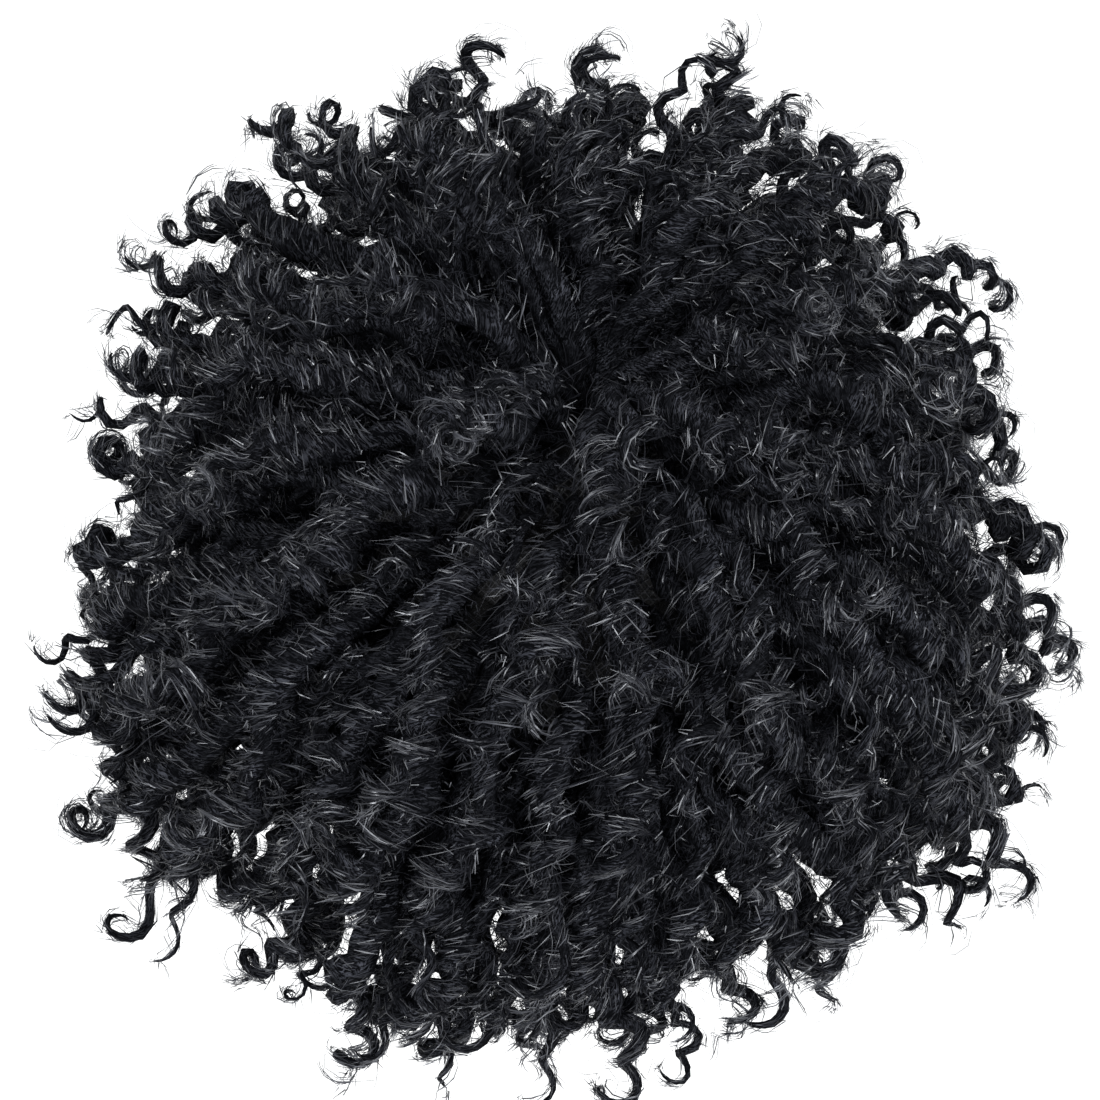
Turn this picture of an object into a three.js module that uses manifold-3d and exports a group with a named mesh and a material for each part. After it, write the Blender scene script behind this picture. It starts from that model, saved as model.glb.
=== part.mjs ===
// Dreadlock wig: a round mass of short twisted locks that stand out of a hollow cap.
//
// The cap is a thin egg-shaped dome, cut higher at the forehead than at the nape.
// Sewn wefts run round it in rows, round a whorl that lies a little behind the crown.
// Each row is one solid: its weft with its locks fused to it.
// A lock leaves the cap straight out, then leans over towards the hem, so the rows lie on each
// other like shingles, with their tips free.
//
// Millimetres, +Z up. The face looks along -Y and +X is to the right of someone facing it.
// The origin is the inside of the crown, where the cap rests on the top of the head.

import * as THREE from "three";
import { mergeVertices } from "three/addons/utils/BufferGeometryUtils.js";
import Module from "manifold-3d";

// Cap: the inside half sizes of an average head (558 mm round), and its wall
const HEAD_HALF_WIDTH = 78;
const HEAD_HALF_LENGTH = 99;
const HEAD_DOME = 110;
const CAP_WALL = 1.5;
const HEM_ANGLE = { mid: 92, lean: 24 }; // degrees down from the whorl, less lean towards the face
const WHORL = { right: 0.1, back: 0.17, fade: 3 }; // the whorl's shift off the crown, for 1 of height
const CAP_COLUMNS = 24;
const CAP_RINGS = 7;

// Wefts: the strips that the locks hang from
const WEFT_GAP = 0.4;
const WEFT_THICKNESS = 2.4;
const WEFT_WIDTH = 9;

// Locks: how they lift, lean, wander and taper
const LIFT_POWER = 1.6; // a lock rises fast at its root and slowly at its tip
const LEAN_POWER = 1.4; // and leans over late
const DROP_PER_DEGREE = 1.9; // below the widest level a lock hangs this far for each degree of lean
const WIDEST_LEVEL = 90;
const TUCK_POWER = 2; // a root below the widest level tucks in to the cap, and its lock soon swings out
const LENGTH_SPREAD = 0.2;
const RISE_SHARE = 0.5; // how much of a longer lock's length goes into its height off the cap
const SHOULDER = 0.2; // the share by which tips stand further off the cap between the ears and the nape
const THICKNESS_SPREAD = 0.1;
const ROW_STAGGER = 0.5; // every second closed row starts half a lock further round
const DRIFT = { size: 9, clumps: 4, rowTurn: 137, spread: 2.5 }; // tips stray sideways in broad clumps
const WAVE = { size: 3.5, turns: 1.2, lockStep: 0.11, rowStep: 0.38 }; // a lock's own bends
const LOCK_SIDES = 5;
const LOCK_TWIST = 50; // degrees that the section turns from one station to the next
const LOCK_STATIONS = [
  { along: 0, girth: 0.44 },
  { along: 0.28, girth: 0.74 },
  { along: 0.6, girth: 1 },
  { along: 0.9, girth: 0.78 },
];
const DIRECTION_STEP = 0.01; // how far ahead a lock's direction is taken

// Rows of locks, from the whorl down. Root and tip are degrees down from the whorl, and the root comes
// up by lean towards the face. Front, side and back are the tips' heights off the cap there, and girth
// is half a lock's thickness. An arc row has its first and last lock at degrees round from the face.
const ROWS = [
  {
    name: "crown_locks", locks: 8, root: 7.5, lean: 0, tip: 31,
    front: 60, side: 68, back: 78, girth: 8.6,
  },
  {
    name: "top_locks", locks: 18, root: 23, lean: 0, tip: 50,
    front: 60, side: 75, back: 86, girth: 8.8,
  },
  {
    name: "upper_locks", locks: 27, root: 38, lean: 1, tip: 69,
    front: 58, side: 78, back: 86, girth: 9,
  },
  {
    name: "middle_locks", locks: 32, root: 53, lean: 2, tip: 87,
    front: 54, side: 80, back: 82, girth: 9.2,
  },
  {
    name: "fringe_locks", locks: 12, root: 72.8, lean: 9.8, tip: 99,
    front: 42, side: 60, back: 60, girth: 8.4, arc: { from: -60, to: 60 },
  },
  {
    name: "side_locks", locks: 25, root: 68.6, lean: 2.4, tip: 103,
    front: 60, side: 76, back: 76, girth: 9.2, arc: { from: 75, to: 285 },
  },
  {
    name: "lower_locks", locks: 20, root: 81.8, lean: 6.2, tip: 118,
    front: 60, side: 62, back: 62, girth: 9, arc: { from: 75, to: 285 },
  },
  {
    name: "nape_locks", locks: 14, root: 88.4, lean: 17.6, tip: 126,
    front: 45, side: 46, back: 46, girth: 8.6, arc: { from: 105, to: 255 },
  },
];

// Finishes
const HAIR = { color: 0x0d0d10, roughness: 0.5, metalness: 0 };
const CAP_NET = { color: 0x101012, roughness: 0.85, metalness: 0 };

// Constants of the scatter function, and which of a lock's properties each draw is for
const SCATTER = { row: 127.1, lock: 311.7, draw: 74.7, scale: 43758.5453 };
const DRAW = { length: 1, drift: 2, girth: 4 };

const wasm = await Module();
wasm.setup();

const radians = THREE.MathUtils.degToRad;
const cosDegrees = (degrees) => Math.cos(radians(degrees));
const sinDegrees = (degrees) => Math.sin(radians(degrees));

// A repeatable number from -1 to 1 for one lock of one row
function stray(row, lock, draw) {
  const seed = row * SCATTER.row + lock * SCATTER.lock + draw * SCATTER.draw;
  const value = Math.sin(seed) * SCATTER.scale;
  return 2 * (value - Math.floor(value)) - 1;
}

// An angle that is less towards the face and more towards the nape
const leaning = (middle, lean, around) => middle - lean * cosDegrees(around);

// A point at an angle down from the whorl and round from the face, at a height off the cap's inside
function capPoint(down, around, height) {
  const upward = cosDegrees(down);
  const shift = Math.max(upward, 0) ** WHORL.fade;
  const direction = new THREE.Vector3(
    sinDegrees(down) * sinDegrees(around) + WHORL.right * shift,
    -sinDegrees(down) * cosDegrees(around) + WHORL.back * shift,
    upward,
  ).normalize();
  const sizes = new THREE.Vector3(HEAD_HALF_WIDTH, HEAD_HALF_LENGTH, HEAD_DOME).addScalar(height);
  const point = direction.multiply(sizes);
  point.z -= HEAD_DOME;
  return point;
}

// The same for hair, which hangs straight down below the cap's widest level
function hairPoint(down, around, height) {
  const point = capPoint(Math.min(down, WIDEST_LEVEL), around, height);
  point.z -= Math.max(down - WIDEST_LEVEL, 0) * DROP_PER_DEGREE;
  return point;
}

// A closed triangle mesh from rings of points: a loop of rings, or rings between two end points
function meshFromRings(rings, ends) {
  const sides = rings[0].length;
  const points = rings.flat();
  const faces = [];
  const spans = ends ? rings.length - 1 : rings.length;
  for (let i = 0; i < spans; i++) {
    const low = i * sides;
    const high = ((i + 1) % rings.length) * sides;
    for (let j = 0; j < sides; j++) {
      const next = (j + 1) % sides;
      faces.push(low + j, low + next, high + next, low + j, high + next, high + j);
    }
  }
  if (ends) {
    const first = points.push(ends.first) - 1;
    const last = points.push(ends.last) - 1;
    const lastRing = (rings.length - 1) * sides;
    for (let j = 0; j < sides; j++) {
      const next = (j + 1) % sides;
      faces.push(next, j, first, lastRing + j, lastRing + next, last);
    }
  }
  const geometry = new THREE.BufferGeometry().setFromPoints(points);
  geometry.setIndex(faces);
  return geometry;
}

// A geometry as a solid that can be joined, with its faces turned outwards
function solidFrom(geometry) {
  const merged = mergeVertices(geometry);
  const triVerts = new Uint32Array(merged.index.array);
  const vertProperties = merged.attributes.position.array;
  const solid = new wasm.Manifold(new wasm.Mesh({ numProp: 3, vertProperties, triVerts }));
  if (solid.volume() >= 0) return solid;
  triVerts.reverse();
  return new wasm.Manifold(new wasm.Mesh({ numProp: 3, vertProperties, triVerts }));
}

// A joined solid as a named mesh
function meshOf(name, solid, finish) {
  const { numProp, vertProperties, triVerts } = solid.getMesh();
  const geometry = new THREE.BufferGeometry();
  geometry.setAttribute("position", new THREE.BufferAttribute(vertProperties, numProp));
  geometry.setIndex(new THREE.BufferAttribute(triVerts, 1));
  geometry.computeVertexNormals();
  const mesh = new THREE.Mesh(geometry, new THREE.MeshStandardMaterial(finish));
  mesh.name = name;
  return mesh;
}

// The cap: down an outer dome, round the hem, and back up an inner dome
function wigCap() {
  const ring = (share, height) =>
    Array.from({ length: CAP_COLUMNS }, (_, column) => {
      const around = (360 * column) / CAP_COLUMNS;
      return capPoint(share * leaning(HEM_ANGLE.mid, HEM_ANGLE.lean, around), around, height);
    });
  const shares = Array.from({ length: CAP_RINGS }, (_, i) => (i + 1) / CAP_RINGS);
  const outer = shares.map((share) => ring(share, CAP_WALL));
  const inner = shares.map((share) => ring(share, 0)).reverse();
  const ends = { first: capPoint(0, 0, CAP_WALL), last: capPoint(0, 0, 0) };
  return meshOf("wig_cap", solidFrom(meshFromRings([...outer, ...inner], ends)), CAP_NET);
}

// How far a row runs round the cap
function rowSpan(row) {
  const { from, to } = row.arc ?? { from: 0, to: 360 };
  return { from, sweep: to - from };
}

const rootAngle = (row, around) => leaning(row.root, row.lean, around);

// The height of a row's tips off the cap, which differs at the face, the ears and the nape, and is
// greatest between the last two
function tipRise(row, around) {
  const faceward = cosDegrees(around);
  const end = faceward > 0 ? row.front : row.back;
  const shoulder = faceward < 0 ? SHOULDER * sinDegrees(2 * around) ** 2 : 0;
  return (row.side + (end - row.side) * faceward ** 2) * (1 + shoulder);
}

// A row's weft: a flat strip that lies on the cap, with columns in step with the cap's own
function weft(row) {
  const { from, sweep } = rowSpan(row);
  const columns = Math.round((sweep * CAP_COLUMNS) / 360);
  const low = CAP_WALL + WEFT_GAP;
  const high = low + WEFT_THICKNESS;
  const half = THREE.MathUtils.radToDeg(WEFT_WIDTH / 2 / HEAD_DOME);
  const sections = Array.from({ length: row.arc ? columns + 1 : columns }, (_, i) => {
    const around = from + (sweep * i) / columns;
    const down = rootAngle(row, around);
    return [
      capPoint(down - half, around, low),
      capPoint(down + half, around, low),
      capPoint(down + half, around, high),
      capPoint(down - half, around, high),
    ];
  });
  const middle = ([corner, , opposite]) => corner.clone().lerp(opposite, 0.5);
  const ends = row.arc && { first: middle(sections[0]), last: middle(sections.at(-1)) };
  return solidFrom(meshFromRings(sections, ends));
}

// The centre line of one lock: a point for how far along it, from 0 at its root to 1 at its tip
function lockPath(row, rowNumber, lock) {
  const { from, sweep } = rowSpan(row);
  const place = row.arc ? lock / (row.locks - 1) : (lock + ROW_STAGGER * (rowNumber % 2)) / row.locks;
  const around = from + sweep * place;
  const longer = LENGTH_SPREAD * stray(rowNumber, lock, DRAW.length);
  const root = rootAngle(row, around);
  const lean = (row.tip - row.root) * (1 + longer);
  const rise = tipRise(row, around) * (1 + RISE_SHARE * longer);
  const clump = DRIFT.size * sinDegrees(DRIFT.clumps * around + DRIFT.rowTurn * rowNumber);
  const drift = clump + DRIFT.spread * stray(rowNumber, lock, DRAW.drift);
  const phase = WAVE.lockStep * lock + WAVE.rowStep * rowNumber;
  const sideways = new THREE.Vector3(cosDegrees(around), sinDegrees(around), 0);
  const seat = CAP_WALL + WEFT_GAP + WEFT_THICKNESS / 2;
  const tuck = capPoint(root, around, seat).sub(hairPoint(root, around, seat));
  return (along) => {
    const down = root + lean * along ** LEAN_POWER;
    const height = seat + (rise - seat) * (1 - (1 - along) ** LIFT_POWER);
    const wave = WAVE.size * sinDegrees(360 * (WAVE.turns * along + phase));
    return hairPoint(down, around, height)
      .addScaledVector(sideways, along * (drift + wave))
      .addScaledVector(tuck, (1 - along) ** TUCK_POWER);
  };
}

// One lock: a tapering section carried along its path, turning as it goes
function lockSolid(row, rowNumber, lock) {
  const path = lockPath(row, rowNumber, lock);
  const girth = row.girth * (1 + THICKNESS_SPREAD * stray(rowNumber, lock, DRAW.girth));
  const rings = LOCK_STATIONS.map((station, i) => {
    const centre = path(station.along);
    const ahead = path(station.along + DIRECTION_STEP).sub(centre).normalize();
    const across = new THREE.Vector3(0, 0, 1).cross(ahead).normalize();
    const upward = ahead.clone().cross(across);
    return Array.from({ length: LOCK_SIDES }, (_, side) => {
      const angle = (360 * side) / LOCK_SIDES + LOCK_TWIST * i;
      return centre
        .clone()
        .addScaledVector(across, girth * station.girth * cosDegrees(angle))
        .addScaledVector(upward, girth * station.girth * sinDegrees(angle));
    });
  });
  return solidFrom(meshFromRings(rings, { first: path(0), last: path(1) }));
}

// A row: its weft with every lock fused to it
function lockRow(row, rowNumber) {
  let solid = weft(row);
  for (let lock = 0; lock < row.locks; lock++) {
    solid = solid.add(lockSolid(row, rowNumber, lock));
  }
  return meshOf(row.name, solid, HAIR);
}

const wig = new THREE.Group();
wig.add(wigCap());
ROWS.forEach((row, rowNumber) => wig.add(lockRow(row, rowNumber)));

export default wig;
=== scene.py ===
"""Dreadlock wig: the looks of its locks and its cap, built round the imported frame."""

import math

import bpy
import numpy as np
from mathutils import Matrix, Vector


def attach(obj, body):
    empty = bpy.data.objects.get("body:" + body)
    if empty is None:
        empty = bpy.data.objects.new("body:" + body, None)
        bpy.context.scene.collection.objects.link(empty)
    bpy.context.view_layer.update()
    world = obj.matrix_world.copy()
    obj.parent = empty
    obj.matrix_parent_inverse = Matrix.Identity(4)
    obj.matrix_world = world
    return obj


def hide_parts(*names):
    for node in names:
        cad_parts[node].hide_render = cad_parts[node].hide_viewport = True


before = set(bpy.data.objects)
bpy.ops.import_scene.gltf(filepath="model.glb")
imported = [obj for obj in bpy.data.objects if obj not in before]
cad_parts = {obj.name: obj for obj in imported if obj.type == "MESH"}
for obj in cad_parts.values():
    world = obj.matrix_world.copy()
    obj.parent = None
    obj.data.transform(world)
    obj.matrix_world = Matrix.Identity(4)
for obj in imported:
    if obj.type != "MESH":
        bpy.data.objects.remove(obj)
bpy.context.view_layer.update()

MM = 0.001
TURN = 2 * math.pi

# Cap and whorl, as the solids have them
HEAD_SIZES = np.array([78, 99, 110]) * MM
CAP_WALL = 1.5 * MM
HEM_MID = 92
HEM_LEAN = 24
WHORL = {"right": 0.1, "back": 0.17, "fade": 3}

# The cap's mesh, the elastic band inside its hem, in shares of the way down to it, and the stitched seams
# of its net, in degrees down from the whorl
CAP_COLUMNS = 96
CAP_RINGS = 26
HEM_BAND = {"from": 0.87, "turn": 0.008, "rings": 5, "thickness": 0.9 * MM, "ribs": 240}
SEAM = {"first": 7.6, "apart": 15.2, "half": 0.7, "stitches": 110, "height": 1.4}
NET_RADIUS = 0.095

# Wefts, with a joint every so many degrees
WEFT_GAP = 0.4 * MM
WEFT_THICKNESS = 2.4 * MM
WEFT_WIDTH = 9 * MM
WEFT_STEP = 5

# How locks lift, lean and wander, as the solids do
LIFT_POWER = 1.6
LEAN_POWER = 1.4
DROP_PER_DEGREE = 1.9 * MM
WIDEST_LEVEL = 90
TUCK_POWER = 2
LENGTH_SPREAD = 0.2
RISE_SHARE = 0.5
SHOULDER = 0.2
ROW_STAGGER = 0.5
DRIFT = {"size": 9 * MM, "clumps": 4, "row_turn": 137, "spread": 2.5 * MM}
WAVE = {"size": 3.5 * MM, "turns": 1.2, "lock_step": 0.11, "row_step": 0.38}
SCATTER = {"row": 127.1, "lock": 311.7, "draw": 74.7, "scale": 43758.5453}
DRAW = {
    "length": 1, "drift": 2, "girth": 4, "phase": 5, "pitch": 6, "place": 7, "root": 8, "rise": 9, "swing": 10,
    "upturn": 11,
}

# How single locks differ from their solids: they swing aside, and many tips turn up, away from the head
SWING = 8 * MM
UPTURN = {
    "from": 0.66, "height": 14 * MM, "curve": 1.5, "lower": 8 * MM, "hold": 0.3, "hold_curve": 2, "usual": 0.35,
    "spread": 0.65,
}

# Rows of locks from the whorl down: angles in degrees, tip heights and girths in millimetres. Small
# curls fill the room between locks, and tufts the room under both, with their roots this far below the
# row's own, in turn. Crowd is how far these move towards the nape, in degrees, and upturn a share.
ROW_COLUMNS = (
    "name", "lock", "root", "lean", "tip", "front", "side", "back", "girth", "arc", "curl", "tuft", "lower_roots",
    "crowd", "upturn",
)
ROW_TABLE = [
    ("crown_locks", 8, 7.5, 0, 31, 60, 68, 78, 8.6, (0, 360), 36, 26, (-5, 4, 9), 25, 1),
    ("top_locks", 18, 23, 0, 50, 60, 75, 86, 8.8, (0, 360), 48, 28, (-5, 5, 10), 20, 1),
    ("upper_locks", 27, 38, 1, 69, 58, 78, 86, 9, (0, 360), 52, 26, (5, 10), 12, 1),
    ("middle_locks", 32, 53, 2, 87, 54, 80, 82, 9.2, (0, 360), 50, 54, (4, 9, 14), 0, 0.8),
    ("fringe_locks", 12, 72.8, 9.8, 99, 42, 60, 60, 8.4, (-60, 60), 42, 46, (-7, -3, 2), 0, 0.3),
    ("side_locks", 25, 68.6, 2.4, 103, 60, 76, 76, 9.2, (75, 285), 32, 22, (4, 9), 0, 0.6),
    ("lower_locks", 20, 81.8, 6.2, 118, 60, 62, 62, 9, (75, 285), 24, 26, (2, 5), 0, 0.4),
    ("nape_locks", 14, 88.4, 17.6, 126, 45, 46, 46, 8.6, (105, 255), 28, 22, (-4, 2), 0, 0.2),
]
ROWS = [dict(zip(ROW_COLUMNS, values)) for values in ROW_TABLE]

# The kinds of strand: half their thickness, if the row doesn't give it, and the loose corkscrew that
# their own line makes, in millimetres. Turns are how often they are wound, if the pitch doesn't give it,
# and rise and reach are shares of the row's own. The key keeps each kind's draws apart.
STRANDS = {
    "lock": {"key": 0, "girth": None, "spread": 0.16, "wobble": 6.5, "turns": None},
    "curl": {
        "key": 1000, "girth": 6, "spread": 0.25, "wobble": 5, "turns": 4.0, "rise": (0.62, 1.12), "reach": 0.95,
    },
    "tuft": {
        "key": 2000, "girth": 8, "spread": 0.25, "wobble": 4, "turns": 2.1, "rise": (0.25, 0.6), "reach": 0.7,
    },
}
KIND = {"lock": 0, "curl": 1, "tuft": 2, "weft": 3}
SAME_KIND = 0.1
COUNT_INPUTS = {"lock": "Locks", "curl": "Curls", "tuft": "Tufts"}
WOBBLE_TURNS = 2.3

# Curls and tufts reach past the ends of an open row, in degrees, and stray from even places and roots
FILLER = {"overhang": 14, "place": 0.4, "root": 1.5}

# A strand's girth along its length, and how tightly its fibres are wound
GIRTH_ALONG = [0, 0.28, 0.55, 0.8, 0.93, 1]
GIRTH_SHARE = [0.46, 0.82, 1, 0.84, 0.62, 0.46]
LUMPS = [(0.14, 3.3), (0.1, 7.7)]
LINE_POINTS = 40
WIND_PITCH = 21 * MM
PITCH_SPREAD = 0.18
PLIES = 3

# How the fibres of a layer lie. Turns, spread and tighten are turns, hug is a share of the strand's
# girth, lift, bend and frizz are millimetres, and facing is the share of bundles that move to the upper side.
STYLE_COLUMNS = ("turns", "hug", "lift", "bend", "spread", "slant", "tighten", "frizz", "facing")
STYLES = {
    "wound": ((0.065, 0.14), (0.7, 1.12), (0.2, 3), (0, 1), 0.16, 0.6, 0, 1.4, 0.45),
    "fuzz": ((0.035, 0.08), (0.6, 1.15), (0.2, 3.2), (0, 1), 0.5, 1.0, 0, 1.4, 0.35),
    "flyaway": ((0.1, 0.4), (0.9, 1.15), (1, 8), (0, 6), 0.17, 1.6, 0, 3, 0),
    "ringlet": ((1.1, 1.6), (0.6, 1.0), (0, 1.5), (0, 3), 0.14, 0.15, 0.45, 0.8, 0),
    "wisp": ((1, 1.8), (0.7, 1.5), (0, 4), (2, 9), 0.3, 0.6, 0.2, 1.5, 0),
    "corkscrew": ((1.5, 2.1), (0.6, 1.05), (0, 1.5), (0, 3), 0.14, 0.05, 0.3, 0.6, 0),
    "tuft": ((1.0, 1.5), (0.5, 1.3), (0, 4), (1, 8), 0.14, 0.3, 0.3, 1.5, 0),
}

# Layers of fibre on each kind of strand: bundles of fibres that run side by side. Thickness and width
# are millimetres, and start is a share of the strand's length.
LAYER_COLUMNS = ("style", "bundles", "fibres", "points", "thickness", "width", "start", "seed")
LAYERS = {
    "lock": [
        ("wound", 82, 4, 3, 0.35, 0.8, (0.04, 0.97), 11),
        ("fuzz", 156, 4, 2, 0.33, 1, (0.02, 1.0), 131),
        ("ringlet", 2, 4, 18, 0.4, 0.5, (0.84, 0.94), 23),
        ("wisp", 2, 1, 14, 0.17, 0, (0.9, 0.96), 37),
        ("flyaway", 30, 1, 5, 0.18, 0, (0.15, 0.98), 53),
    ],
    "curl": [
        ("corkscrew", 2, 2, 17, 0.38, 0.5, (0.76, 0.81), 83),
        ("wound", 16, 4, 3, 0.34, 0.7, (0.06, 0.96), 71),
        ("fuzz", 44, 4, 2, 0.34, 1, (0.04, 0.98), 149),
        ("flyaway", 12, 1, 5, 0.18, 0, (0.1, 0.8), 97),
    ],
    "tuft": [("tuft", 2, 5, 12, 0.36, 1.2, (0.5, 0.55), 113)],
}
IN_MILLIMETRES = ("thickness", "width", "lift", "bend", "frizz")

# How single fibres differ: in slant, thickness and roll, and in how they leave the strand. Those of two
# points thin towards one end, and the others towards both.
BUNDLE_SLANT = (-0.6, 1.0)
FIBRE_SLANT = (-0.7, 0.7)
FIBRE_THICKNESS = (0.7, 1.3)
FIBRE_ROLL = 0.25
TIPWARD = 0.58
VALLEY = 0.2
WANDER = 0.07
LIFT_CURVE = 2.5
LIFT_RARITY = 2
FRIZZ_CURVE = 1.7
UPPER_SIDE_RISE = 0.9
TAPER = {"ends": 0.8, "power": 4, "short": 0.65, "short_below": 2.5}

# The dense inside of each strand, which thins from one share of its length to another while it turns
# into a corkscrew, its tail. Tail is the corkscrew's size as a share of the strand's girth.
CORES = {
    "lock": {"steps": 48, "sides": 5, "share": 0.6, "fade_from": 0.45, "fade_to": 0.97, "tail": 0.85},
    "curl": {"steps": 38, "sides": 4, "share": 0.6, "fade_from": 0.35, "fade_to": 0.95, "tail": 1.0},
    "tuft": {"steps": 7, "sides": 4, "share": 0.66, "fade_from": 0.3, "fade_to": 0.8, "tail": 0},
}
TAIL = {"thinner": 0.6, "curve": 1.2, "turns": 1.1, "turns_spread": 0.7, "turns_mix": 9}
TIP_CROWD = 1.7
TIP_ROUND = {"full": 1.03, "power": 20}
FOLLOWS_TAIL = ("wound", "fuzz")

# Shades, each from dark to light, and the gloss of fibres
FIBRE_SHADES = ((0.0042, 0.0044, 0.0062), (0.0235, 0.0247, 0.0322))
# The inside's dark end is painted shade, the deep shadow between fibres, and its light end painted glints of lit
# fibres
INSIDE_PAINTED_SHADE_AND_GLINTS = ((0.0019, 0.0021, 0.0028), (0.046, 0.0488, 0.06))
TAPE_SHADES = ((0.0005, 0.0005, 0.0007), (0.004, 0.0042, 0.005))
NET_SHADES = ((0.003, 0.003, 0.0036), (0.06, 0.061, 0.066))
FIBRE_GLOSS = {"specular": 0.95, "tint": (0.91, 0.94, 1, 1), "roughness": 0.25, "roughness_spread": 0.2}

# Streaks on the inside of strands, as painted glints of lit fibres: those along the winding and those that
# cross it, their frizz, and the clumps that they lie in, with painted shade between the clumps
STREAKS = {"along": 2.0, "detail": 2.0, "roughness": 0.6, "from": 0.52, "full": 0.6}
ALONG = {"wind": 1.0, "scale": 5.5}
CROSSING = {"wind": 1.7, "scale": 4.5}
CROSSING_SHARE = 0.7
STREAK_FRIZZ = {"scale": 120.0, "detail": 2.0, "size": 0.7}
# Between clumps the streaks drop to least: painted shade there, and less relief
CLUMPS_WITH_PAINTED_SHADE = {"scale": 150.0, "detail": 1.0, "from": 0.4, "full": 0.6, "least": 0.25}
INSIDE_GLOSS = {"specular": 0.02, "roughness": 0.8, "smoother": 0.4, "depth": 0.5 * MM}

# Cloth: the net's cells and the tape's, threads as a share of a cell, and wear
NET_WEAVE = {"cell": 2.6 * MM, "thread": 0.45}
TAPE_WEAVE = {"cell": 0.9 * MM, "thread": 0.8}
WEAR = {"scale": 60.0, "detail": 3.0, "shade": 0.5, "roughness": 0.3}
CLOTH = {"specular": 0.3, "roughness": 0.5, "light_from": 0.7, "depth": 0.4 * MM}

# The photograph's viewpoint and its white studio
VIEW = {"elevation": 56, "distance": 1.0, "span": 0.352, "target": (-0.0026, 0.0103, -0.0614)}
SENSOR = 36
FLOOR = {"level": -1.5, "half": 15, "colour": (0.97, 0.97, 0.97, 1), "roughness": 0.9}
SKY = {"colour": (0.96, 0.98, 1, 1), "strength": 0.58}
LIGHTS_AIM = (0, 0, -0.08)
LIGHTS = [
    ("key", (-1.4, -2.0, 3.0), 1.8, 106),
    ("front", (0.5, -2.9, 1.1), 2.0, 50),
    ("fill", (2.4, -1.0, 2.0), 2.4, 63),
    ("back", (0.2, 2.8, 2.2), 1.8, 54),
]


# Centre lines of strands


def stray(row, lock, draw):
    """A repeatable number from -1 to 1 for one lock of one row."""
    seed = row * SCATTER["row"] + lock * SCATTER["lock"] + draw * SCATTER["draw"]
    value = math.sin(seed) * SCATTER["scale"]
    return 2 * (value - math.floor(value)) - 1


def leaning(middle, lean, around):
    """An angle that is less towards the face and more towards the nape."""
    return middle - lean * np.cos(np.radians(around))


def cap_points(down, around, height):
    """Points at angles down from the whorl and round from the face, at heights off the cap's inside."""
    down, around, height = np.broadcast_arrays(*map(np.float64, (down, around, height)))
    upward = np.cos(np.radians(down))
    shift = np.maximum(upward, 0) ** WHORL["fade"]
    direction = np.stack([
        np.sin(np.radians(down)) * np.sin(np.radians(around)) + WHORL["right"] * shift,
        -np.sin(np.radians(down)) * np.cos(np.radians(around)) + WHORL["back"] * shift,
        upward,
    ], axis=-1)
    direction /= np.linalg.norm(direction, axis=-1, keepdims=True)
    points = direction * (HEAD_SIZES + height[..., None])
    points[..., 2] -= HEAD_SIZES[2]
    return points


def hair_points(down, around, height):
    """The same for hair, which hangs straight down below the cap's widest level."""
    points = cap_points(np.minimum(down, WIDEST_LEVEL), around, height)
    points[..., 2] -= np.maximum(down - WIDEST_LEVEL, 0) * DROP_PER_DEGREE
    return points


def root_angle(row, around):
    return leaning(row["root"], row["lean"], around)


def tip_rise(row, around):
    """The height of a row's tips off the cap, which differs at the face, the ears and the nape."""
    faceward = math.cos(math.radians(around))
    end = row["front"] if faceward > 0 else row["back"]
    shoulder = SHOULDER * math.sin(math.radians(2 * around)) ** 2 if faceward < 0 else 0
    return (row["side"] + (end - row["side"]) * faceward**2) * (1 + shoulder) * MM


def is_closed(row):
    return row["arc"] == (0, 360)


def hanging_line(row, number, lock, around, root, lean, rise):
    """A centre line from a root on the cap to a tip that leans and hangs."""
    clump = DRIFT["size"] * math.sin(math.radians(DRIFT["clumps"] * around + DRIFT["row_turn"] * number))
    drift = clump + DRIFT["spread"] * stray(number, lock, DRAW["drift"]) + SWING * stray(number, lock, DRAW["swing"])
    phase = WAVE["lock_step"] * lock + WAVE["row_step"] * number
    sideways = np.array([math.cos(math.radians(around)), math.sin(math.radians(around)), 0])
    seat = CAP_WALL + WEFT_GAP + WEFT_THICKNESS / 2
    tuck = cap_points(root, around, seat) - hair_points(root, around, seat)
    along = np.linspace(0, 1, LINE_POINTS)[:, None]
    late = np.maximum(along - UPTURN["from"], 0) / (1 - UPTURN["from"])
    upturn = row["upturn"] * max(0, UPTURN["usual"] + UPTURN["spread"] * stray(number, lock, DRAW["upturn"]))
    down = root + lean * (along**LEAN_POWER - UPTURN["hold"] * upturn * late ** UPTURN["hold_curve"])
    rise -= UPTURN["lower"] * upturn
    height = seat + (rise - seat) * (1 - (1 - along) ** LIFT_POWER)
    height += UPTURN["height"] * upturn * late ** UPTURN["curve"]
    wave = WAVE["size"] * np.sin(TURN * (WAVE["turns"] * along + phase))
    line = hair_points(down[:, 0], around, height[:, 0])
    return line + along * (drift + wave) * sideways + (1 - along) ** TUCK_POWER * tuck


def wobbled(line, size, phase):
    """A line with a loose corkscrew added that grows from its root."""
    ahead = np.gradient(line, axis=0)
    across = np.cross([0, 0, 1], ahead)
    across /= np.linalg.norm(across, axis=1, keepdims=True)
    upward = np.cross(ahead, across)
    upward /= np.linalg.norm(upward, axis=1, keepdims=True)
    along = np.linspace(0, 1, LINE_POINTS)[:, None]
    angle = TURN * (WOBBLE_TURNS * along + phase)
    return line + size * MM * along * (np.cos(angle) * across + np.sin(angle) * upward)


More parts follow.
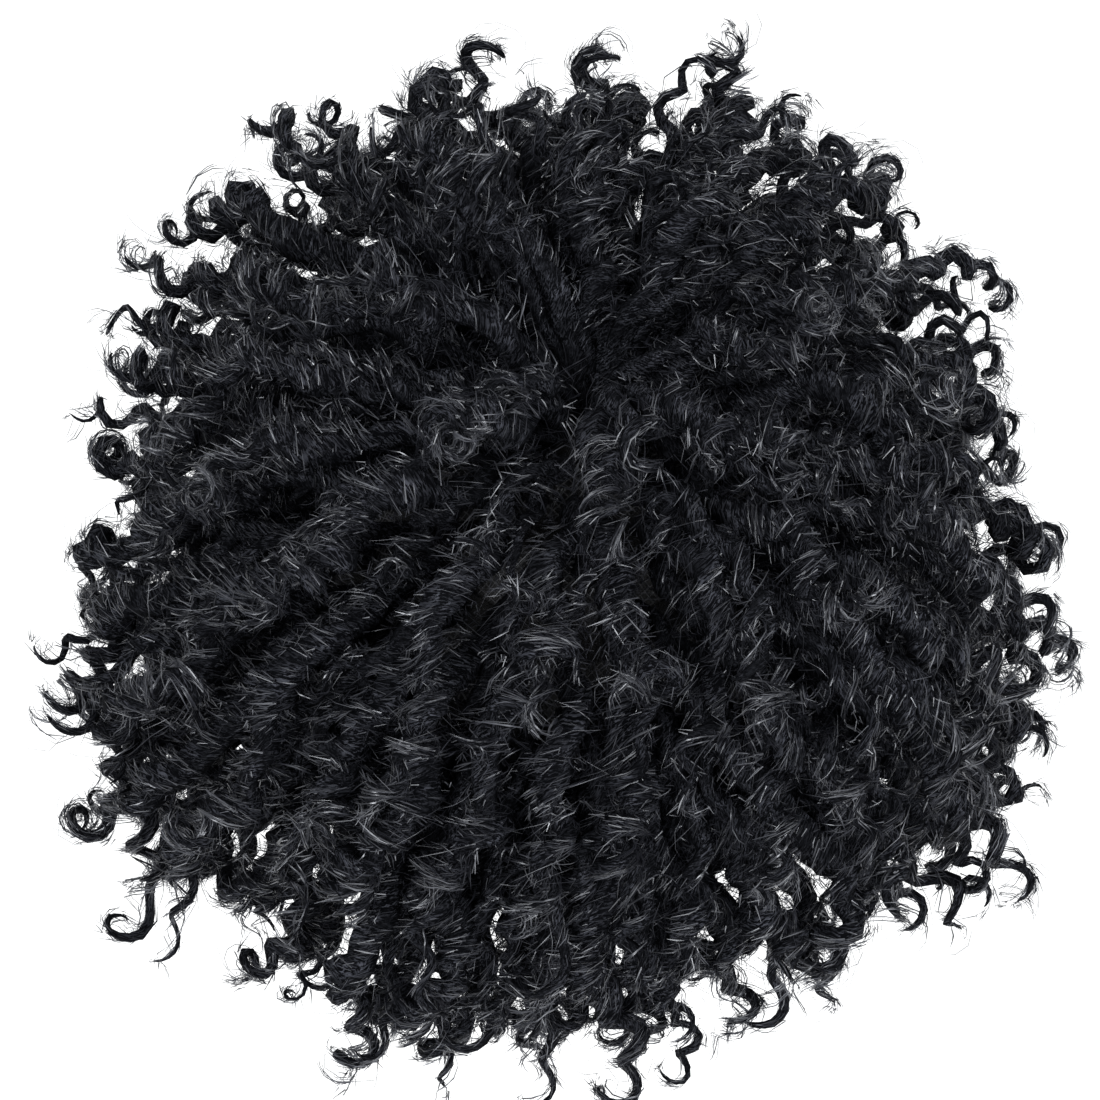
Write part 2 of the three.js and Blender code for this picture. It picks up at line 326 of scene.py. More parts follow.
def lock_line(row, number, lock):
    """The centre line of one lock, from its root to its tip."""
    start, end = row["arc"]
    if is_closed(row):
        place = (lock + ROW_STAGGER * (number % 2)) / row["lock"]
    else:
        place = lock / (row["lock"] - 1)
    around = start + (end - start) * place
    longer = LENGTH_SPREAD * stray(number, lock, DRAW["length"])
    lean = (row["tip"] - row["root"]) * (1 + longer)
    rise = tip_rise(row, around) * (1 + RISE_SHARE * longer)
    return hanging_line(row, number, lock, around, root_angle(row, around), lean, rise)


def filler_line(row, number, kind, i):
    """The centre line of one of the curls or tufts that fill a row."""
    style = STRANDS[kind]
    start, end = row["arc"]
    if not is_closed(row):
        start, end = start - FILLER["overhang"], end + FILLER["overhang"]
    key = i + style["key"]
    place = (i + 0.5 + FILLER["place"] * stray(number, key, DRAW["place"])) / row[kind]
    around = start + (end - start) * place
    around += row["crowd"] * math.sin(math.radians(around))
    lower = row["lower_roots"][i % len(row["lower_roots"])]
    root = root_angle(row, around) + lower + FILLER["root"] * stray(number, key, DRAW["root"])
    low, high = style["rise"]
    share = low + (high - low) * (0.5 + 0.5 * stray(number, key, DRAW["rise"]))
    longer = LENGTH_SPREAD * stray(number, key, DRAW["length"])
    lean = (row["tip"] - row["root"]) * style["reach"] * (1 + longer)
    return hanging_line(row, number, key, around, root, lean, tip_rise(row, around) * share)


# Node trees


class Wire:
    """A socket of a node tree, with arithmetic that adds the nodes for it."""

    def __init__(self, tree, socket):
        self.tree = tree
        self.socket = socket

    def __add__(self, other):
        return self.tree.math("ADD", self, other)

    def __sub__(self, other):
        return self.tree.math("SUBTRACT", self, other)

    def __rsub__(self, other):
        return self.tree.math("SUBTRACT", other, self)

    def __mul__(self, other):
        return self.tree.math("MULTIPLY", self, other)

    def __truediv__(self, other):
        return self.tree.math("DIVIDE", self, other)

    def __pow__(self, other):
        return self.tree.math("POWER", self, other)


class Tree:
    """A node group, or a material's nodes, while it is being wired."""

    def __init__(self, tree):
        self.tree = tree

    @classmethod
    def group(cls, kind, name, inputs, output):
        """A new group. Its inputs and its output are each a label with a kind of socket."""
        group = bpy.data.node_groups.new(name, kind)
        for label, socket in inputs:
            group.interface.new_socket(name=label, in_out="INPUT", socket_type="NodeSocket" + socket)
        label, socket = output
        group.interface.new_socket(name=label, in_out="OUTPUT", socket_type="NodeSocket" + socket)
        made = cls(group)
        made.entry = group.nodes.new("NodeGroupInput")
        made.exit = group.nodes.new("NodeGroupOutput")
        return made

    @classmethod
    def geometry(cls, name, inputs):
        return cls.group("GeometryNodeTree", name, inputs, ("Geometry", "Geometry"))

    def given(self, label):
        return Wire(self, self.entry.outputs[label])

    def finished(self, result):
        self.put(self.exit.inputs[0], result)
        return self.tree

    def put(self, socket, value):
        if isinstance(value, Wire):
            self.tree.links.new(value.socket, socket)
        else:
            socket.default_value = value

    def node(self, kind, settings=None, **inputs):
        """Adds a node. Input names have underscores for spaces."""
        made = self.tree.nodes.new(kind)
        for key, value in (settings or {}).items():
            setattr(made, key, value)
        for key, value in inputs.items():
            label = key.replace("_", " ")
            socket = next(s for s in made.inputs if s.name == label and s.enabled)
            self.put(socket, value)
        return made

    def out(self, node, label=None):
        outputs = [s for s in node.outputs if s.enabled and label in (None, s.name)]
        return Wire(self, outputs[0])

    def math(self, operation, *values):
        made = self.tree.nodes.new("ShaderNodeMath")
        made.operation = operation
        for socket, value in zip(made.inputs, values):
            self.put(socket, value)
        return Wire(self, made.outputs[0])

    def vector(self, operation, first, second=None, scale=None):
        made = self.tree.nodes.new("ShaderNodeVectorMath")
        made.operation = operation
        self.put(made.inputs[0], first)
        if second is not None:
            self.put(made.inputs[1], second)
        if scale is not None:
            self.put(made.inputs["Scale"], scale)
        return Wire(self, made.outputs[0])

    def dot(self, first, second):
        made = self.vector("DOT_PRODUCT", first, second)
        return Wire(self, made.socket.node.outputs["Value"])

    def split(self, value):
        made = self.node("ShaderNodeSeparateXYZ", Vector=value)
        return [Wire(self, made.outputs[axis]) for axis in "XYZ"]

    def ranged(self, value, start, end, least=0.0):
        """A value that grows from least to 1 while another goes from start to end."""
        return self.out(self.node("ShaderNodeMapRange", Value=value, From_Min=start, From_Max=end, To_Min=least))

    def random(self, low, high, identity, seed):
        made = self.node(
            "FunctionNodeRandomValue", {"data_type": "FLOAT"}, Min=low, Max=high, ID=identity, Seed=seed
        )
        return self.out(made)

    def store(self, geometry, label, value, kind="FLOAT"):
        made = self.node(
            "GeometryNodeStoreNamedAttribute",
            {"data_type": kind, "domain": "POINT"},
            Geometry=geometry, Name=label, Value=value,
        )
        return self.out(made)

    def stored(self, label, kind):
        return self.out(self.node("GeometryNodeInputNamedAttribute", {"data_type": kind}, Name=label))

    def painted(self, label, output="Fac"):
        """A stored attribute, for a material."""
        return self.out(self.node("ShaderNodeAttribute", {"attribute_name": label}), output)

    def noise(self, place, output="Fac", **values):
        return self.out(self.node("ShaderNodeTexNoise", Vector=place, **values), output)


def sampled(t, factor, lock):
    """A row's lines at a share of one lock's length, with its girth, twist and phase there as the value."""
    return t.node(
        "GeometryNodeSampleCurve", {"data_type": "FLOAT_VECTOR", "mode": "FACTOR"}, Curves=t.given("Lines"),
        Value=t.stored("shape", "FLOAT_VECTOR"), Factor=factor, Curve_Index=lock,
    )


def directions(t, sample):
    """A function for the direction at an angle round a sampled line, and the line's own two sides."""
    normal = t.out(sample, "Normal")
    binormal = t.vector("CROSS_PRODUCT", t.out(sample, "Tangent"), normal)

    def across(angle):
        return t.vector(
            "ADD",
            t.vector("SCALE", normal, scale=t.math("COSINE", angle)),
            t.vector("SCALE", binormal, scale=t.math("SINE", angle)),
        )

    return across, normal, binormal


def tail_angle(t, twist, phase, along, late):
    """How far round a strand its tail lies: tips are wound further, some more than others."""
    further = t.math("SINE", phase * TAIL["turns_mix"]) * TAIL["turns_spread"] + TAIL["turns"]
    return phase + twist * along + late * late * further


def tail_offset(t, across, turned, girth, late):
    """How far aside a strand's tail lies."""
    return t.vector("SCALE", across(turned * TURN), scale=girth * t.given("Tail") * late ** TAIL["curve"])


def upper_side(t, sample):
    """The angle round a lock at which it faces up and away from the head."""
    x, y, _ = t.split(t.out(sample, "Position"))
    level = t.vector("NORMALIZE", t.out(t.node("ShaderNodeCombineXYZ", X=x, Y=y)))
    facing = t.vector("ADD", level, (0, 0, UPPER_SIDE_RISE))
    _, normal, binormal = directions(t, sample)
    return t.math("ARCTAN2", t.dot(binormal, facing), t.dot(normal, facing))


RANGES = ("Start", "Turns", "Hug", "Lift", "Bend")
FIBRE_INPUTS = [
    ("Lines", "Geometry"),
    *((label, "Int") for label in ("Locks", "Bundles", "Fibres", "Points", "Seed")),
    *((label + end, "Float") for label in RANGES for end in (" Low", " High")),
    *((label, "Float") for label in ("Thickness", "Width", "Spread", "Slant", "Tighten", "Frizz", "Facing")),
    *((label, "Float") for label in ("Fade From", "Fade To", "Tail", "Thinner")),
]


def fibre_layer():
    """A tree that winds one layer of fibres round a row's locks."""
    t = Tree.geometry("fibre layer", FIBRE_INPUTS)
    points = t.given("Points")
    seed = t.given("Seed")
    blank = t.node("GeometryNodeResampleCurve", Curve=t.out(t.node("GeometryNodeCurvePrimitiveLine")), Count=points)
    count = t.given("Locks") * t.given("Bundles") * t.given("Fibres")
    copies = t.node(
        "GeometryNodeInstanceOnPoints", Points=t.out(t.node("GeometryNodePoints", Count=count)), Instance=t.out(blank)
    )
    fibres = t.out(t.node("GeometryNodeRealizeInstances", Geometry=t.out(copies)))

    # Each point's fibre, bundle and lock, by number; half a step keeps these clear of rounding
    index = t.out(t.node("GeometryNodeInputIndex"))
    fibre = t.math("FLOOR", (index + 0.5) / points)
    bundle = t.math("FLOOR", (fibre + 0.5) / t.given("Fibres"))
    lock = t.math("FLOOR", (bundle + 0.5) / t.given("Bundles"))
    share = (index - fibre * points) / (points - 1)

    def of_bundle(low, high, step):
        return t.random(low, high, bundle, seed + step)

    def of_fibre(low, high, step):
        return t.random(low, high, fibre, seed + step)

    def ends(label):
        return t.given(label + " Low"), t.given(label + " High")

    def between(label, part):
        low, high = ends(label)
        return low + (high - low) * part

    # Where along the lock each point lies; twist and phase are the same all along it
    _, twist, phase = t.split(t.out(sampled(t, 0.5, lock), "Value"))
    start = between("Start", of_bundle(0.0, 1.0, 0) ** TIPWARD)
    turns = of_bundle(*ends("Turns"), 1)
    width = t.given("Width")
    step = (share - 0.5) * turns / twist
    slant = (of_bundle(*BUNDLE_SLANT, 2) + of_fibre(*FIBRE_SLANT, 3)) * t.given("Slant")
    raw = start + step * (slant + 1) + of_fibre(-1.0, 1.0, 4) * width / (twist * WIND_PITCH)
    along = t.math("MINIMUM", t.math("MAXIMUM", raw, 0.0), 1.0)
    beyond = t.math("MAXIMUM", raw - 1, 0.0) * twist * WIND_PITCH
    here = sampled(t, along, lock)
    girth, _, _ = t.split(t.out(here, "Value"))

    # How far round it: on one of the lock's plies, and for some bundles on the ply that faces up
    ply = t.math("FLOOR", of_bundle(0.0, float(PLIES), 5)) / PLIES
    off_ply = of_bundle(-1.0, 1.0, 6)
    middle = phase + twist * start + ply + off_ply * t.given("Spread")
    astray = middle - upper_side(t, sampled(t, start, lock)) / TURN
    astray = astray - t.math("ROUND", astray)
    chosen = t.math("LESS_THAN", of_bundle(0.0, 1.0, 16), t.given("Facing"))
    middle = middle - t.math("ROUND", astray * PLIES) / PLIES * chosen
    wander = of_fibre(-WANDER, WANDER, 7) * share
    angle = (middle + twist * step + t.given("Tighten") * share * share + wander) * TURN

    # How far off its line
    hug = of_bundle(*ends("Hug"), 8) - off_ply * off_ply * VALLEY
    lift = between("Lift", of_fibre(0.0, 1.0, 9) ** LIFT_RARITY)
    late = t.ranged(along, t.given("Fade From"), t.given("Fade To"))
    girth_here = girth * (1 - late * t.given("Thinner"))
    away = girth_here * hug + of_fibre(-1.0, 1.0, 10) * width + lift * share**LIFT_CURVE
    bend = of_bundle(*ends("Bend"), 11) * share**LIFT_CURVE
    bend_angle = of_bundle(0.0, TURN, 12)
    frizz = of_fibre(-1.0, 1.0, 17) * t.given("Frizz") * share**FRIZZ_CURVE
    frizz_angle = of_fibre(0.0, TURN, 18)

    across, _, _ = directions(t, here)
    outward = across(angle)
    place = t.out(here, "Position")
    for offset in [
        t.vector("SCALE", outward, scale=away),
        tail_offset(t, across, tail_angle(t, twist, phase, along, late), girth, late),
        t.vector("SCALE", t.out(here, "Tangent"), scale=beyond),
        t.vector("SCALE", across(bend_angle), scale=bend),
        t.vector("SCALE", across(frizz_angle), scale=frizz),
    ]:
        place = t.vector("ADD", place, offset)
    moved = t.node("GeometryNodeSetPosition", Geometry=fibres, Position=place)
    faced = t.node("GeometryNodeSetCurveNormal", {"mode": "FREE"}, Curve=t.out(moved), Normal=outward)
    roll = of_fibre(-1.0, 1.0, 13) * FIBRE_ROLL * TURN
    rolled = t.node("GeometryNodeSetCurveTilt", Curve=t.out(faced), Tilt=roll)
    tinted = t.store(t.out(rolled), "tint", of_fibre(0.0, 1.0, 14))

    short = t.math("LESS_THAN", points, TAPER["short_below"])
    to_ends = t.math("ABSOLUTE", share * 2 - 1) ** TAPER["power"] * TAPER["ends"]
    taper = 1 - to_ends * (1 - short) - share * short * TAPER["short"]
    thickness = t.given("Thickness") * 0.5 * taper * of_fibre(*FIBRE_THICKNESS, 15)
    ribbon = t.node("GeometryNodeCurvePrimitiveLine", Start=(0, -1, 0), End=(0, 1, 0))
    mesh = t.node("GeometryNodeCurveToMesh", Curve=tinted, Profile_Curve=t.out(ribbon), Scale=thickness)
    return t.finished(t.out(t.node("GeometryNodeSetShadeSmooth", Geometry=t.out(mesh))))


CORE_INPUTS = [
    ("Lines", "Geometry"), ("Steps", "Int"), ("Sides", "Int"), ("Share", "Float"),
    ("Fade From", "Float"), ("Fade To", "Float"), ("Tail", "Float"),
]


def lock_core():
    """A tree that sweeps the dense inside of a row's locks along their lines, with more steps near tips."""
    t = Tree.geometry("lock core", CORE_INPUTS)
    end = t.given("Fade To")
    line = t.node("GeometryNodeResampleCurve", Curve=t.given("Lines"), Count=t.given("Steps"))
    share = t.out(t.node("GeometryNodeSplineParameter"), "Factor")
    along = (1 - (1 - share) ** TIP_CROWD) * end
    here = sampled(t, along, t.out(t.node("GeometryNodeCurveOfPoint"), "Curve Index"))
    girth, twist, phase = t.split(t.out(here, "Value"))
    late = t.ranged(along, t.given("Fade From"), end)
    turned = tail_angle(t, twist, phase, along, late)
    wound = t.store(t.out(line), "wound", turned)
    rounded = t.math("SQRT", TIP_ROUND["full"] - late ** TIP_ROUND["power"]) * (1 - late * TAIL["thinner"])
    wound = t.store(wound, "radius_here", girth * t.given("Share") * rounded)
    across, _, _ = directions(t, here)
    place = t.vector("ADD", t.out(here, "Position"), tail_offset(t, across, turned, girth, late))
    wound = t.out(t.node("GeometryNodeSetPosition", Geometry=wound, Position=place))
    ring = t.out(t.node("GeometryNodeCurvePrimitiveCircle", Resolution=t.given("Sides"), Radius=1.0))
    ring = t.store(ring, "wrap", t.out(t.node("GeometryNodeInputPosition")), "FLOAT_VECTOR")
    radius = t.stored("radius_here", "FLOAT")
    mesh = t.node("GeometryNodeCurveToMesh", Curve=wound, Profile_Curve=ring, Scale=radius, Fill_Caps=True)
    return t.finished(t.out(t.node("GeometryNodeSetShadeSmooth", Geometry=t.out(mesh))))


def layer_inputs(values):
    """A layer's values by the names of the tree's inputs, in metres, with each range as its two ends."""
    layer = dict(zip(LAYER_COLUMNS, values))
    style = layer.pop("style")
    layer.update(zip(STYLE_COLUMNS, STYLES[style]))
    inputs = {}
    for name, value in layer.items():
        unit = MM if name in IN_MILLIMETRES else 1
        label = name.title()
        if label in RANGES:
            inputs[label + "_Low"], inputs[label + "_High"] = (end * unit for end in value)
        else:
            inputs[label] = value * unit
    return style, inputs


ROW_INPUTS = [
    ("Geometry", "Geometry"), *((label, "Int") for label in COUNT_INPUTS.values()),
    *((label, "Material") for label in ("Hair", "Inside", "Tape")),
]


def lock_row_tree(layer_tree, core_tree):
    """The tree for one row: its weft, its cores and each layer of fibre, realized, with materials."""
    t = Tree.geometry("lock row", ROW_INPUTS)
    host = t.given("Geometry")
    kind = t.stored("kind", "INT")
    join = t.tree.nodes.new("GeometryNodeJoinGeometry")

    def is_kind(name):
        return t.math("COMPARE", kind, float(KIND[name]), SAME_KIND)

    def add(geometry, material):
        t.put(join.inputs[0], t.out(t.node("GeometryNodeSetMaterial", Geometry=geometry, Material=t.given(material))))

    weft = t.node("GeometryNodeSeparateGeometry", {"domain": "POINT"}, Geometry=host, Selection=is_kind("weft"))
    add(t.out(weft, "Selection"), "Tape")
    for name, core in CORES.items():
        lines = t.out(t.node("GeometryNodeMeshToCurve", Mesh=host, Selection=is_kind(name)))
        core_inputs = {key.title(): value for key, value in core.items()}
        add(t.out(t.node("GeometryNodeGroup", {"node_tree": core_tree}, Lines=lines, **core_inputs)), "Inside")
        for layer in LAYERS[name]:
            style, inputs = layer_inputs(layer)
            follows = style in FOLLOWS_TAIL
            fibres = t.node(
                "GeometryNodeGroup", {"node_tree": layer_tree}, Lines=lines, Locks=t.given(COUNT_INPUTS[name]),
                Fade_From=core["fade_from"], Fade_To=core["fade_to"], Tail=core["tail"] * follows,
                Thinner=TAIL["thinner"] * follows, **inputs,
            )
            add(t.out(fibres), "Hair")
    return t.finished(t.out(t.node("GeometryNodeRealizeInstances", Geometry=t.out(join))))


# Materials


def principled(name, **values):
    """A material with its Principled BSDF set, and a Tree to wire the rest."""
    material = bpy.data.materials.new(name)
    material.use_nodes = True
    shader = material.node_tree.nodes["Principled BSDF"]
    for key, value in values.items():
        shader.inputs[key.replace("_", " ")].default_value = value
    return material, shader, Tree(material.node_tree)


def shaded(t, value, shades, full=1):
    """A colour from the first shade to the second, which it reaches at this value."""
    made = t.node("ShaderNodeValToRGB", Fac=value)
    for stop, place, colour in zip(made.color_ramp.elements, (0, full), shades):
        stop.position = place
        stop.color = (*colour, 1)
    return t.out(made, "Color")


def fibre_material():
    """Single fibres: near black and cool, each a little different in shade and gloss."""
    material, shader, t = principled(
        "hair_fibre", Specular_IOR_Level=FIBRE_GLOSS["specular"], Specular_Tint=FIBRE_GLOSS["tint"]
    )
    tint = t.painted("tint")
    t.put(shader.inputs["Base Color"], shaded(t, tint, FIBRE_SHADES))
    t.put(shader.inputs["Roughness"], tint * FIBRE_GLOSS["roughness_spread"] + FIBRE_GLOSS["roughness"])
    return material


def streaks(t, wrap, wound, frizz, wind, scale):
    """Streaks that run round a lock with this share of its own winding; their bright parts are painted glints of lit
    fibres.
    """
    turned = t.node("ShaderNodeVectorRotate", {"rotation_type": "Z_AXIS"}, Vector=wrap, Angle=wound * (-TURN * wind))
    followed = t.vector("ADD", t.out(turned), t.out(t.node("ShaderNodeCombineXYZ", Z=wound * STREAKS["along"])))
    followed = t.vector("ADD", followed, frizz)
    noise = t.noise(followed, Scale=scale, Detail=STREAKS["detail"], Roughness=STREAKS["roughness"])
    return t.ranged(noise, STREAKS["from"], STREAKS["full"])


def core_material():
    """The dense inside of a lock: fine frizzy streaks in clumps, painted as glints of lit fibres, with near-black
    painted shade between them.
    """
    material, shader, t = principled("hair_inside_painted_shade_and_glints", Specular_IOR_Level=INSIDE_GLOSS["specular"])
    wrap = t.painted("wrap", "Vector")
    wound = t.painted("wound")
    place = t.out(t.node("ShaderNodeTexCoord"), "Object")
    frizz = t.noise(place, "Color", Scale=STREAK_FRIZZ["scale"], Detail=STREAK_FRIZZ["detail"])
    frizz = t.vector("SCALE", frizz, scale=STREAK_FRIZZ["size"])
    along = streaks(t, wrap, wound, frizz, **ALONG)
    crossing = streaks(t, wrap, wound, frizz, **CROSSING)
    clumps = t.noise(place, Scale=CLUMPS_WITH_PAINTED_SHADE["scale"], Detail=CLUMPS_WITH_PAINTED_SHADE["detail"])
    clumps = t.ranged(clumps, CLUMPS_WITH_PAINTED_SHADE["from"], CLUMPS_WITH_PAINTED_SHADE["full"], CLUMPS_WITH_PAINTED_SHADE["least"])
    height = t.math("MAXIMUM", along, crossing * CROSSING_SHARE) * clumps
    # Base colour: painted glints where the streaks are high, and painted shade, near black, between streaks and
    # clumps; roughness and bump follow the same streaks
    t.put(shader.inputs["Base Color"], shaded(t, height, INSIDE_PAINTED_SHADE_AND_GLINTS))
    t.put(shader.inputs["Roughness"], INSIDE_GLOSS["roughness"] - height * INSIDE_GLOSS["smoother"])
    bump = t.node("ShaderNodeBump", Strength=1.0, Distance=INSIDE_GLOSS["depth"], Height=height)
    t.put(shader.inputs["Normal"], t.out(bump))
    return material


def thread_net():
    """A shader group for crossed threads: a net of this cell on coordinates in metres."""
    inputs = [("Place", "Vector"), ("Cell", "Float"), ("Thread", "Float")]
    t = Tree.group("ShaderNodeTree", "thread net", inputs, ("Threads", "Float"))
    x, y, _ = t.split(t.given("Place"))
    cell = t.given("Cell")
    rising = t.math("PINGPONG", (x + y) / cell, 0.5)
    falling = t.math("PINGPONG", (x - y) / cell, 0.5)
    nearest = t.math("MINIMUM", rising, falling)
    threads = t.node(
        "ShaderNodeMapRange", {"interpolation_type": "SMOOTHSTEP"}, Value=nearest, From_Min=t.given("Thread") * 0.5,
        From_Max=0.0,
    )
    return t.finished(t.out(threads))


def cloth_material(name, net, cell, thread, shades):
    """Worn black cloth of crossed threads. A ribbed hem and seams show on a mesh that has them stored."""
    material, shader, t = principled(name, Specular_IOR_Level=CLOTH["specular"])
    place = t.painted("net", "Vector")
    threads = t.out(t.node("ShaderNodeGroup", {"node_tree": net}, Place=place, Cell=cell, Thread=thread))
    worn = t.noise(place, Scale=WEAR["scale"], Detail=WEAR["detail"])
    edge = t.painted("hem")
    x, y, _ = t.split(t.out(t.node("ShaderNodeTexCoord"), "Object"))
    around = t.math("ARCTAN2", x, y)

    def ridges(count):
        return t.math("SINE", around * count) * 0.5 + 0.5

    off_seam = t.math("PINGPONG", (t.painted("down") - SEAM["first"]) / SEAM["apart"], 0.5) * SEAM["apart"]
    on_seam = t.math("LESS_THAN", off_seam, SEAM["half"]) * (1 - edge)
    relief = threads * (1 - edge) * (1 - on_seam) + ridges(HEM_BAND["ribs"]) * edge
    relief = relief + ridges(SEAM["stitches"]) * on_seam * SEAM["height"]
    shade = relief * (worn * WEAR["shade"] + (1 - WEAR["shade"]))
    t.put(shader.inputs["Base Color"], shaded(t, shade, shades, CLOTH["light_from"]))
    t.put(shader.inputs["Roughness"], worn * WEAR["roughness"] + CLOTH["roughness"])
    bump = t.node("ShaderNodeBump", Strength=1.0, Distance=CLOTH["depth"], Height=relief)
    t.put(shader.inputs["Normal"], t.out(bump))
    return material


# Pieces


def weft_strip(row):
    """Corner points and faces of the strip that a row's locks are sewn to."""
    start, end = row["arc"]
    columns = round((end - start) / WEFT_STEP)
    closed = is_closed(row)
    around = start + np.arange(columns + (not closed)) * (end - start) / columns
    down = root_angle(row, around)
    half = math.degrees(WEFT_WIDTH / 2 / HEAD_SIZES[2])
    low = CAP_WALL + WEFT_GAP
    high = low + WEFT_THICKNESS
    corners = [(-half, low), (half, low), (half, high), (-half, high)]
    points = np.stack([cap_points(down + lean, around, height) for lean, height in corners], axis=1).reshape(-1, 3)
    faces = []
    for i in range(columns):
        here, there = 4 * i, 4 * ((i + 1) % len(around))
        faces += [(here + j, there + j, there + (j + 1) % 4, here + (j + 1) % 4) for j in range(4)]
    if not closed:
        last = 4 * columns
        faces += [(0, 1, 2, 3), (last + 3, last + 2, last + 1, last)]
    return points, faces


def keep(mesh, label, values, kind="FLOAT"):
    """Keeps a value for each point of a mesh."""
    attribute = mesh.attributes.new(label, kind, "POINT")
    field = "vector" if kind == "FLOAT_VECTOR" else "value"
    attribute.data.foreach_set(field, np.array(values, np.int32 if kind == "INT" else np.float32).ravel())


def keep_net(mesh):
    """Keeps each point's place on the cap laid out flat, where the threads of cloth are drawn."""
    points = np.empty(len(mesh.vertices) * 3, np.float32)
    mesh.vertices.foreach_get("co", points)
    x, y, z = (points.reshape(-1, 3) + [0, 0, HEAD_SIZES[2]]).T
    reach = np.hypot(x, y)
    flat = 2 * NET_RADIUS * np.sin(np.arctan2(reach, z) / 2) / np.maximum(reach, 1e-6)
    keep(mesh, "net", np.stack([x * flat, y * flat, 0 * z], axis=1), "FLOAT_VECTOR")


def lines_mesh(row, number):
    """A row's weft and centre lines, with each point's kind, girth, twist and phase."""
    points, faces = weft_strip(row)
    kinds = [KIND["weft"]] * len(points)
    shapes = [(0, 1, 0)] * len(points)
    points = list(points)
    edges = []
    along = np.linspace(0, 1, LINE_POINTS)
    profile = np.interp(along, GIRTH_ALONG, GIRTH_SHARE)
    for kind, style in STRANDS.items():
        for i in range(row[kind]):
            key = i + style["key"]
            phase = stray(number, key, DRAW["phase"])
            line = lock_line(row, number, i) if kind == "lock" else filler_line(row, number, kind, i)
            line = wobbled(line, style["wobble"], phase)
            length = np.linalg.norm(np.diff(line, axis=0), axis=1).sum()
            looser = 1 + PITCH_SPREAD * stray(number, key, DRAW["pitch"])
            twist = (style["turns"] or length / WIND_PITCH) / looser
            thickness = (style["girth"] or row["girth"]) * MM
            girth = thickness * (1 + style["spread"] * stray(number, key, DRAW["girth"])) * profile
            for size, turns in LUMPS:
                girth = girth * (1 + size * np.sin(TURN * (turns * along + turns * phase)))
            first = len(points)
            points += list(line)
            shapes += [(value, twist, phase) for value in girth]
            kinds += [KIND[kind]] * LINE_POINTS
            edges += [(first + j, first + j + 1) for j in range(LINE_POINTS - 1)]
    mesh = bpy.data.meshes.new(row["name"] + "_lines")
    mesh.from_pydata(points, edges, faces)
    keep(mesh, "shape", shapes, "FLOAT_VECTOR")
    keep(mesh, "kind", kinds, "INT")
    keep_net(mesh)
    return mesh


def lock_row(row, number, tree, materials):
    """One row of dressed locks as a plain mesh, standing for its solid."""
    piece = bpy.data.objects.new(row["name"] + "_hair", lines_mesh(row, number))
    bpy.context.scene.collection.objects.link(piece)
    modifier = piece.modifiers.new("locks", "NODES")
    modifier.node_group = tree
    identifiers = {item.name: item.identifier for item in tree.interface.items_tree if item.in_out == "INPUT"}
    for kind, label in COUNT_INPUTS.items():
        modifier[identifiers[label]] = row[kind]
    for label, material in materials.items():
        modifier[identifiers[label]] = material
    evaluated = piece.evaluated_get(bpy.context.evaluated_depsgraph_get())
    mesh = bpy.data.meshes.new_from_object(evaluated)
    piece.modifiers.remove(modifier)
    piece.data = mesh
    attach(piece, "root")
    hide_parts(row["name"])


def cap_shell(material):
    """The cap as a smooth thin shell of the same form, with an elastic band round the inside of its hem."""
    around = np.arange(CAP_COLUMNS) * 360 / CAP_COLUMNS
    hem = leaning(HEM_MID, HEM_LEAN, around)
    net_shares = np.linspace(0, HEM_BAND["from"], CAP_RINGS + 1)[1:]
    band_shares = np.linspace(HEM_BAND["from"] + HEM_BAND["turn"], 1, HEM_BAND["rings"])
    walls = [(share, CAP_WALL, 0) for share in [*net_shares, *band_shares]]
    walls += [(share, -HEM_BAND["thickness"], 1) for share in band_shares[::-1]]
    walls += [(share, 0, 0) for share in net_shares[::-1]]
    points = [p for share, height, _ in walls for p in cap_points(share * hem, around, height)]
    points += [cap_points(0, 0, CAP_WALL), cap_points(0, 0, 0)]
    banded = [edge for _, _, edge in walls for _ in around] + [0, 0]
    down = [share * angle for share, _, _ in walls for angle in hem] + [0, 0]
    faces = []
    for i in range(len(walls) - 1):
        low, high = i * CAP_COLUMNS, (i + 1) * CAP_COLUMNS
        for j in range(CAP_COLUMNS):
            k = (j + 1) % CAP_COLUMNS
            faces.append((low + j, high + j, high + k, low + k))
    last = (len(walls) - 1) * CAP_COLUMNS
    for j in range(CAP_COLUMNS):
        k = (j + 1) % CAP_COLUMNS
        faces.append((j, k, len(points) - 2))
        faces.append((last + k, last + j, len(points) - 1))
    mesh = bpy.data.meshes.new("wig_cap_net")
    mesh.from_pydata(points, [], faces)
    mesh.polygons.foreach_set("use_smooth", [True] * len(faces))
    mesh.materials.append(material)
    keep_net(mesh)
    keep(mesh, "hem", banded)
    keep(mesh, "down", down)
    piece = bpy.data.objects.new("wig_cap_net", mesh)
    bpy.context.scene.collection.objects.link(piece)
    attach(piece, "root")
    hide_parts("wig_cap")


# Stage


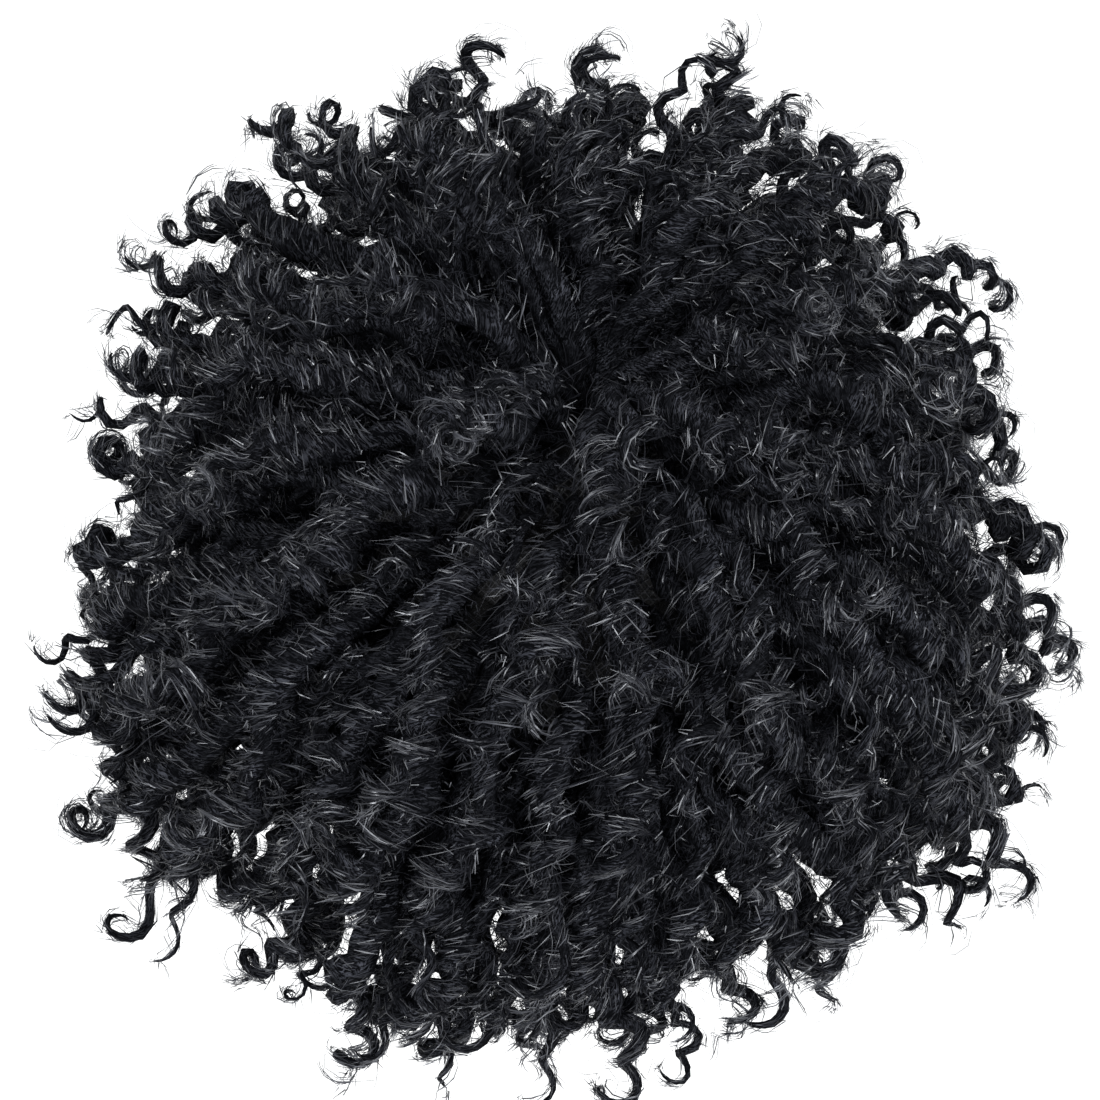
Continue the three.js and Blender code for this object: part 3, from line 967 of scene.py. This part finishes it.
def floor():
    mesh = bpy.data.meshes.new("floor")
    half = FLOOR["half"]
    corners = [(-half, -half), (half, -half), (half, half), (-half, half)]
    mesh.from_pydata([(x, y, FLOOR["level"]) for x, y in corners], [], [(0, 1, 2, 3)])
    piece = bpy.data.objects.new("floor", mesh)
    material, _, _ = principled("floor_white", Roughness=FLOOR["roughness"], Base_Color=FLOOR["colour"])
    mesh.materials.append(material)
    bpy.context.scene.collection.objects.link(piece)


def softbox(name, place, size, power):
    light = bpy.data.lights.new(name, "AREA")
    light.shape = "DISK"
    light.size = size
    light.energy = power
    lamp = bpy.data.objects.new(name, light)
    lamp.location = place
    lamp.rotation_euler = (Vector(LIGHTS_AIM) - Vector(place)).to_track_quat("-Z", "Y").to_euler()
    bpy.context.scene.collection.objects.link(lamp)


def camera():
    elevation = math.radians(VIEW["elevation"])
    target = Vector(VIEW["target"])
    lens = bpy.data.cameras.new("camera")
    lens.sensor_width = SENSOR
    lens.lens = SENSOR * VIEW["distance"] / VIEW["span"]
    eye = bpy.data.objects.new("camera", lens)
    eye.location = target + VIEW["distance"] * Vector((0, -math.cos(elevation), math.sin(elevation)))
    eye.rotation_euler = (target - eye.location).to_track_quat("-Z", "Y").to_euler()
    bpy.context.scene.collection.objects.link(eye)
    bpy.context.scene.camera = eye


def studio():
    floor()
    for light in LIGHTS:
        softbox(*light)
    world = bpy.data.worlds.new("studio")
    world.use_nodes = True
    sky = world.node_tree.nodes["Background"]
    sky.inputs["Color"].default_value = SKY["colour"]
    sky.inputs["Strength"].default_value = SKY["strength"]
    bpy.context.scene.world = world
    bpy.context.scene.view_settings.view_transform = "Standard"
    camera()


net = thread_net()
materials = {
    "Hair": fibre_material(),
    "Inside": core_material(),
    "Tape": cloth_material("weft_tape", net, **TAPE_WEAVE, shades=TAPE_SHADES),
}
row_tree = lock_row_tree(fibre_layer(), lock_core())
for number, row in enumerate(ROWS):
    lock_row(row, number, row_tree, materials)
cap_shell(cloth_material("cap_net", net, **NET_WEAVE, shades=NET_SHADES))
studio()
